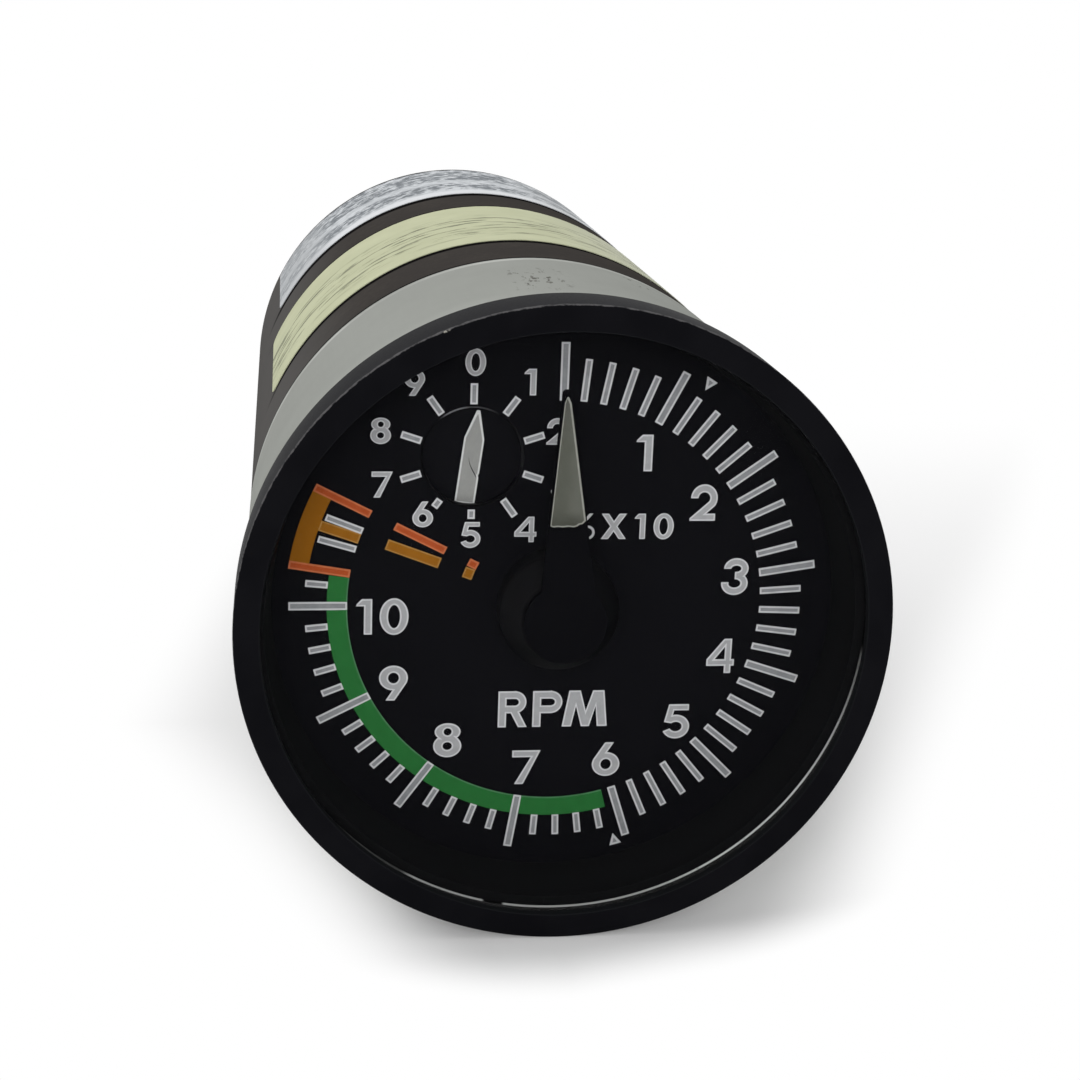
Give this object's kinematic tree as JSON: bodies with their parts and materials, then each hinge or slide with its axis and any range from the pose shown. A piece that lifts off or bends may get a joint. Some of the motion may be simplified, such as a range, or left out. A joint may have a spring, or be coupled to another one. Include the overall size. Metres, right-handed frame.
{
  "type": "gas producer indicator",
  "caption": "Round panel tachometer with a percent scale, a main pointer, a vernier pointer behind a window and a long cylindrical case with a rear receptacle.",
  "frame": {"origin": "on the instrument's axis, in the plane where the bezel's flange meets the clamp land", "axes": "+Y along the axis from the dial to the rear receptacle, +Z to the top of the dial, +X to the right as seen from the front"},
  "size_m": [0.0604, 0.1448, 0.0604],
  "materials": {
    "black_paint": "satin",
    "case_finish": "satin",
    "glass": "clear",
    "rubber": "matte",
    "white_print": "matte",
    "green_print": "matte",
    "amber_print": "matte",
    "red_print": "matte",
    "lume": "matte",
    "yellow_foil": "satin",
    "silver_foil": "satin",
    "plate": "machined",
    "brass": "machined",
    "steel": "bright",
    "iron": "matte",
    "copper": "enamelled",
    "shell": "anodised",
    "insulator": "moulded"
  },
  "bodies": {
    "housing": {"amber_marks": "amber_print", "arbor_bushes": "brass", "bezel": "black_paint", "case": "case_finish", "chassis_screws": "steel", "connector_gasket": "rubber", "connector_insert": "insulator", "connector_pins": "brass", "connector_screws": "steel", "connector_shell": "shell", "dial": "black_paint", "dial_boss": "black_paint", "drag_pillars": "plate", "end_plate": "plate", "flux_ring": "iron", "front_pillars": "plate", "front_plate": "plate", "front_plate_screws": "steel", "glass": "glass", "glass_gasket": "rubber", "green_arc": "green_print", "hairspring": "steel", "hairspring_stud": "brass", "middle_plate": "plate", "motor_housing": "plate", "motor_pillars": "plate", "motor_plate": "plate", "rear_standoffs": "plate", "red_marks": "red_print", "reflector_ring": "black_paint", "rotor_bushes": "brass", "silver_label": "silver_foil", "staff_bushes": "brass", "stator_coils": "copper", "stator_core": "iron", "white_marks": "white_print", "yellow_label": "yellow_foil"},
    "pointer_assembly": {"pointer": "black_paint", "pointer_lume": "lume", "pointer_collet": "brass", "pointer_staff": "steel", "main_gear": "brass", "drag_cup": "plate", "hairspring_collet": "brass"},
    "idler": {"idler_arbor": "steel", "idler_gear": "brass"},
    "vernier": {"vernier_disc": "black_paint", "vernier_hand": "white_print", "vernier_arbor": "steel"},
    "rotor_assembly": {"rotor_shaft": "steel", "rotor": "iron", "drag_magnet": "iron"}
  },
  "joints": [
    {"name": "pointer_turn", "type": "hinge", "parent": "housing", "child": "pointer_assembly", "pos_m": [0, 0, 0], "axis": [0, 1, 0], "range_deg": [0, 298.4], "stiffness_Nm_per_rad": 0.0002},
    {"name": "idler_turn", "type": "hinge", "parent": "housing", "child": "idler", "pos_m": [-0.00298, 0.015, 0.01347], "axis": [0, 1, 0], "range_deg": [-1990, 0]},
    {"name": "vernier_turn", "type": "hinge", "parent": "housing", "child": "vernier", "pos_m": [-0.00831, 0.01, 0.01434], "axis": [0, 1, 0], "range_deg": [0, 3980]},
    {"name": "rotor_spin", "type": "hinge", "parent": "housing", "child": "rotor_assembly", "pos_m": [0, 0.06, 0], "axis": [0, 1, 0], "continuous": true}
  ],
  "couplings": [
    {"joint": "idler_turn", "follows": "pointer_turn", "ratio": -6.6667},
    {"joint": "vernier_turn", "follows": "pointer_turn", "ratio": 13.333}
  ]
}
